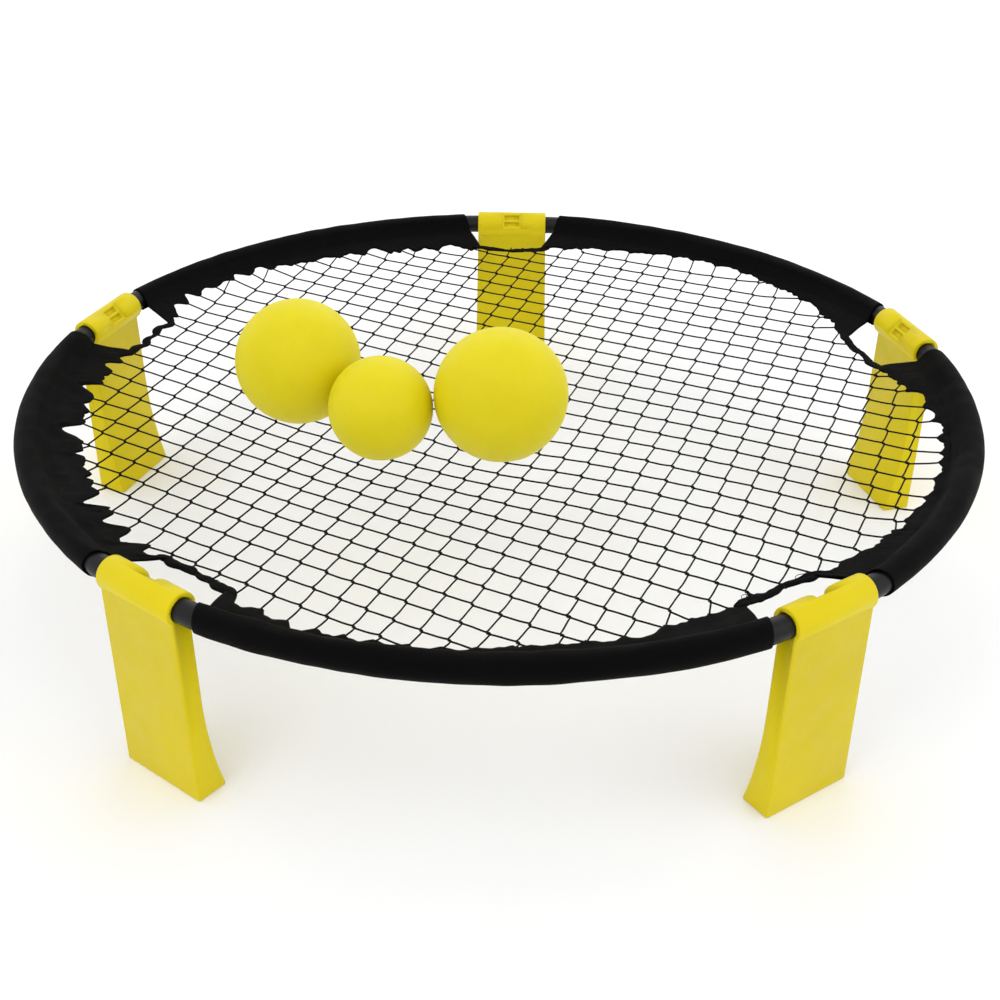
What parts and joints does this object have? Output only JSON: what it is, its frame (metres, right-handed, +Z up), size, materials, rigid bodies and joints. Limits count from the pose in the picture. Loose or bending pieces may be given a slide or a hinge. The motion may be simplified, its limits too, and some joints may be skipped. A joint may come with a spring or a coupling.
{
  "type": "roundnet set",
  "caption": "Low round net on a tubular ring with fabric sleeves and folding moulded legs, with loose inflated balls resting on the net.",
  "frame": {"origin": "on the ground under the middle of the ring", "axes": "+Z up; one leg stands on +Y; the balls lie on the -X and -Y side of the net"},
  "size_m": [0.9066, 0.9067, 0.2742],
  "materials": {
    "leg_plastic": "satin moulded plastic",
    "rim_tube": "satin black paint on steel tube",
    "sleeve_fabric": "matt woven nylon",
    "net_cord": "matt knotted cord",
    "ball_vinyl": "matt inflated vinyl",
    "valve_rubber": "matt"
  },
  "bodies": {
    "rim_and_net": {"rim_tube_1": "rim_tube", "sleeve_1": "sleeve_fabric", "edge_strap_1": "sleeve_fabric", "rim_tube_2": "rim_tube", "sleeve_2": "sleeve_fabric", "edge_strap_2": "sleeve_fabric", "rim_tube_3": "rim_tube", "sleeve_3": "sleeve_fabric", "edge_strap_3": "sleeve_fabric", "rim_tube_4": "rim_tube", "sleeve_4": "sleeve_fabric", "edge_strap_4": "sleeve_fabric", "rim_tube_5": "rim_tube", "sleeve_5": "sleeve_fabric", "edge_strap_5": "sleeve_fabric", "net": "net_cord"},
    "leg_1": {"leg_1": "leg_plastic"},
    "leg_2": {"leg_2": "leg_plastic"},
    "leg_3": {"leg_3": "leg_plastic"},
    "leg_4": {"leg_4": "leg_plastic"},
    "leg_5": {"leg_5": "leg_plastic"},
    "ball_left": {"ball_left": "ball_vinyl", "ball_valve_left": "valve_rubber"},
    "ball_middle": {"ball_middle": "ball_vinyl", "ball_valve_middle": "valve_rubber"},
    "ball_right": {"ball_right": "ball_vinyl", "ball_valve_right": "valve_rubber"}
  },
  "joints": [
    {"name": "leg_1_fold", "type": "hinge", "parent": "rim_and_net", "child": "leg_1", "pos_m": [0, 0.43966, 0.185], "axis": [-1, 0, 0], "range_deg": [0, 55]},
    {"name": "leg_2_fold", "type": "hinge", "parent": "rim_and_net", "child": "leg_2", "pos_m": [-0.41814, 0.13586, 0.185], "axis": [-0.309, -0.9511, 0], "range_deg": [0, 55]},
    {"name": "leg_3_fold", "type": "hinge", "parent": "rim_and_net", "child": "leg_3", "pos_m": [-0.25842, -0.35569, 0.185], "axis": [0.809, -0.5878, 0], "range_deg": [0, 55]},
    {"name": "leg_4_fold", "type": "hinge", "parent": "rim_and_net", "child": "leg_4", "pos_m": [0.25842, -0.35569, 0.185], "axis": [0.809, 0.5878, 0], "range_deg": [0, 55]},
    {"name": "leg_5_fold", "type": "hinge", "parent": "rim_and_net", "child": "leg_5", "pos_m": [0.41814, 0.13586, 0.185], "axis": [-0.309, 0.9511, 0], "range_deg": [0, 55]},
    {"name": "ball_left_lift", "type": "slide", "parent": "rim_and_net", "child": "ball_left", "axis": [0, 0, 1], "range_m": [0, 0.3]},
    {"name": "ball_middle_lift", "type": "slide", "parent": "rim_and_net", "child": "ball_middle", "axis": [0, 0, 1], "range_m": [0, 0.3]},
    {"name": "ball_right_lift", "type": "slide", "parent": "rim_and_net", "child": "ball_right", "axis": [0, 0, 1], "range_m": [0, 0.3]}
  ]
}
